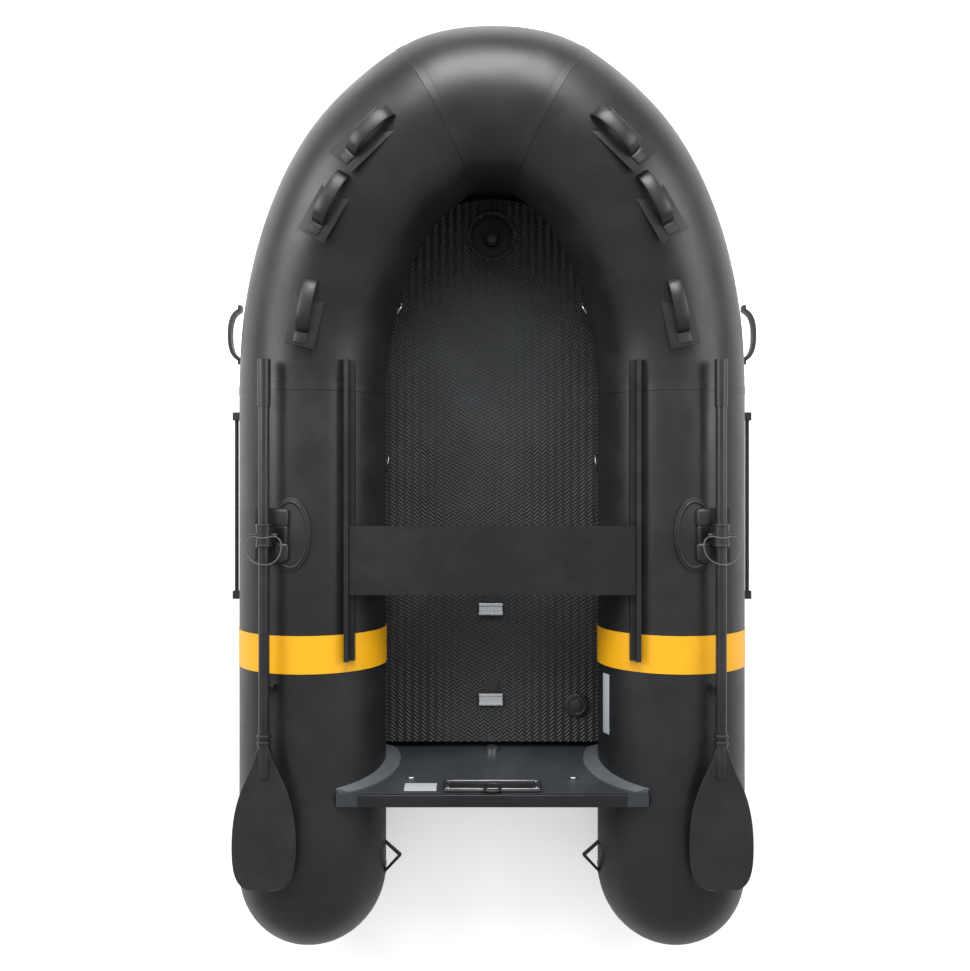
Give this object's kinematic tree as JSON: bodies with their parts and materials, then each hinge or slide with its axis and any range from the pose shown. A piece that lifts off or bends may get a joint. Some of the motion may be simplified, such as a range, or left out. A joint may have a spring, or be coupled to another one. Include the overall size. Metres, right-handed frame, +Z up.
{
  "type": "inflatable dinghy",
  "caption": "Inflatable dinghy with round side and bow tubes, air floor, rigid raked transom, sliding bench and stowed oars.",
  "frame": {"origin": "middle of the boat's box, on the ground", "axes": "+Y to the bow, +X to starboard, +Z up"},
  "size_m": [1.588, 2.6499, 0.6271],
  "materials": {
    "tube_fabric": "satin coated fabric",
    "yellow_band": "satin coated fabric",
    "floor_mat": "embossed matt",
    "bottom_fabric": "satin",
    "transom_panel": "smooth",
    "moulded_plastic": "fine grain",
    "grey_plastic": "satin",
    "steel": "satin",
    "bench_paint": "satin",
    "rubber_trim": "satin",
    "rope": "braided",
    "oar_tube": "black anodised"
  },
  "bodies": {
    "hull": {"air_floor": "floor_mat", "bench_rail_port": "rubber_trim", "bench_rail_starboard": "rubber_trim", "bow_handles_port": "rubber_trim", "bow_handles_starboard": "rubber_trim", "bow_tube": "tube_fabric", "colour_band_port": "yellow_band", "colour_band_starboard": "yellow_band", "drain_plug": "moulded_plastic", "floor_valve": "moulded_plastic", "hull_bottom": "bottom_fabric", "keel_valve": "moulded_plastic", "life_line_port": "rope", "life_line_starboard": "rope", "motor_pad": "moulded_plastic", "oar_rest_port": "rubber_trim", "oar_rest_starboard": "rubber_trim", "oarlock_base_port": "moulded_plastic", "oarlock_base_starboard": "moulded_plastic", "outer_motor_pad": "moulded_plastic", "rope_eyes_port": "rubber_trim", "rope_eyes_starboard": "rubber_trim", "side_handle_port": "rubber_trim", "side_handle_starboard": "rubber_trim", "side_tube_port": "tube_fabric", "side_tube_starboard": "tube_fabric", "stern_loop_port": "rubber_trim", "stern_loop_starboard": "rubber_trim", "strap_slides": "grey_plastic", "transom_board": "transom_panel", "transom_bolts": "steel"},
    "bench": {"bench_board": "bench_paint"},
    "oar_port": {"oarlock_port": "moulded_plastic", "oar_shaft_port": "oar_tube", "oar_grip_port": "moulded_plastic", "oar_blade_port": "moulded_plastic"},
    "oar_starboard": {"oarlock_starboard": "moulded_plastic", "oar_shaft_starboard": "oar_tube", "oar_grip_starboard": "moulded_plastic", "oar_blade_starboard": "moulded_plastic"}
  },
  "joints": [
    {"name": "bench_slide", "type": "slide", "parent": "hull", "child": "bench", "axis": [0, 1, 0], "range_m": [-0.186, 0.468]},
    {"name": "oar_port_swing", "type": "hinge", "parent": "hull", "child": "oar_port", "pos_m": [-0.632, -0.098, 0.47], "axis": [0, 0, 1], "range_deg": [-130, 30]},
    {"name": "oar_starboard_swing", "type": "hinge", "parent": "hull", "child": "oar_starboard", "pos_m": [0.632, -0.098, 0.47], "axis": [0, 0, 1], "range_deg": [-30, 130]}
  ]
}
